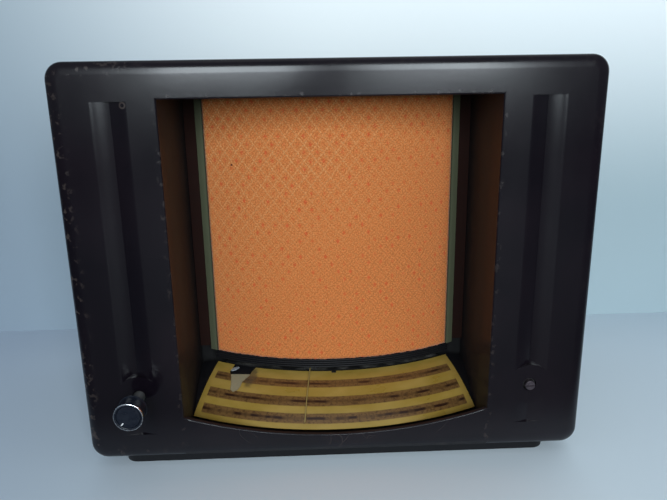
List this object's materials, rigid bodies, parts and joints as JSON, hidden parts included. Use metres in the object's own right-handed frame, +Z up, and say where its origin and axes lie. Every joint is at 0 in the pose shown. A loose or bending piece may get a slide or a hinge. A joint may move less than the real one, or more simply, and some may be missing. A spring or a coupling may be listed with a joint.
{
  "type": "tabletop radio",
  "caption": "Table radio with a moulded cabinet, a recessed bay holding a curved cloth grille above a fan-shaped tuning dial, and fluted pillars with two spindles.",
  "frame": {"origin": "centre of the plinth's underside, on the surface that the set stands on", "axes": "+X to the listener's right along the front, +Y from the front to the back, +Z up"},
  "size_m": [0.487, 0.2887, 0.3755],
  "materials": {
    "phenolic": "moulded, semi-gloss, lightly scuffed",
    "black_paint": "black stain, satin",
    "fabric_cloth": "woven, gold diamond figure on orange",
    "olive_tape": "flat woven binding",
    "amber_sheet": "printed celluloid, aged amber",
    "card": "plain, matt",
    "brass": "dull",
    "steel": "plated, dull",
    "aluminium": "spun, satin",
    "glass": "clear, silvered inside at the top",
    "fibreboard": "pressed brown fibreboard",
    "plywood": "raw plywood stained black in front",
    "cone_paper": "pulp paper, matt",
    "knob_plastic": "satin black",
    "index_paint": "white paint",
    "stamping": "black enamel on laminated iron",
    "cord": "waxed drive cord",
    "brown_moulding": "brown insulating moulding"
  },
  "bodies": {
    "set": {"cabinet": "phenolic", "plinth": "black_paint", "back_cover": "fibreboard", "baffle_board": "plywood", "grille_frame": "black_paint", "grille_cloth": "fabric_cloth", "edge_strip_left": "olive_tape", "edge_strip_right": "olive_tape", "dial_sill": "black_paint", "dial_scale": "amber_sheet", "dial_backing": "card", "dial_tray": "black_paint", "pointer_rail": "steel", "lamp_holder_left": "steel", "lamp_holder_right": "steel", "dial_lamp_left": "glass", "dial_lamp_right": "glass", "volume_bush": "aluminium", "volume_pot": "brown_moulding", "tuning_bush": "brass", "drive_cord": "cord", "gang_frame": "steel", "gang_stator": "aluminium", "chassis": "steel", "mains_transformer": "stamping", "output_transformer": "stamping", "rectifier_valve": "glass", "output_valve": "glass", "detector_valve": "glass", "if_valve": "glass", "mixer_valve": "glass", "if_can_1": "aluminium", "if_can_2": "aluminium", "smoothing_capacitor": "aluminium", "speaker_frame": "stamping", "speaker_magnet": "stamping", "wave_switch": "brown_moulding", "socket_panel": "brown_moulding", "mains_inlet": "brown_moulding", "chassis_bolt_1": "steel", "back_screw_1": "brass", "chassis_bolt_2": "steel", "back_screw_2": "brass", "chassis_bolt_3": "steel", "back_screw_3": "brass", "chassis_bolt_4": "steel", "back_screw_4": "brass"},
    "volume_control": {"knob_body": "knob_plastic", "knob_ring": "aluminium", "knob_face": "knob_plastic", "knob_index": "index_paint", "volume_spindle": "aluminium"},
    "tuning_shaft": {"tuning_spindle": "steel"},
    "gang": {"gang_rotor": "aluminium", "drive_drum": "brown_moulding"},
    "pointer_arm": {"pointer": "brass", "pointer_carriage": "brass"},
    "wave_control": {"wave_spindle": "steel", "wave_knob": "phenolic"},
    "cone": {"speaker_cone": "cone_paper"}
  },
  "joints": [
    {"name": "volume_turn", "type": "hinge", "parent": "set", "child": "volume_control", "pos_m": [-0.1845, -0.125, 0.0745], "axis": [0, 1, 0], "range_deg": [0, 270]},
    {"name": "gang_turn", "type": "hinge", "parent": "set", "child": "gang", "pos_m": [0.155, 0.003, 0.1075], "axis": [0, 1, 0], "range_deg": [-69, 111]},
    {"name": "tuning_turn", "type": "hinge", "parent": "set", "child": "tuning_shaft", "pos_m": [0.1845, -0.125, 0.0745], "axis": [0, 1, 0], "range_deg": [-441.7, 710.5]},
    {"name": "pointer_swing", "type": "hinge", "parent": "set", "child": "pointer_arm", "pos_m": [0, 0.2, 0.0595], "axis": [0, 0, 1], "range_deg": [-18.41, 29.61]},
    {"name": "wave_turn", "type": "hinge", "parent": "set", "child": "wave_control", "pos_m": [0.205, 0.051, 0.0455], "axis": [1, 0, 0], "range_deg": [-30, 30]},
    {"name": "cone_travel", "type": "slide", "parent": "set", "child": "cone", "axis": [0, -1, 0], "range_m": [-0.0015, 0.0015], "stiffness_N_per_m": 900}
  ],
  "couplings": [
    {"joint": "tuning_turn", "follows": "gang_turn", "ratio": 6.4},
    {"joint": "pointer_swing", "follows": "gang_turn", "ratio": 0.26667}
  ]
}
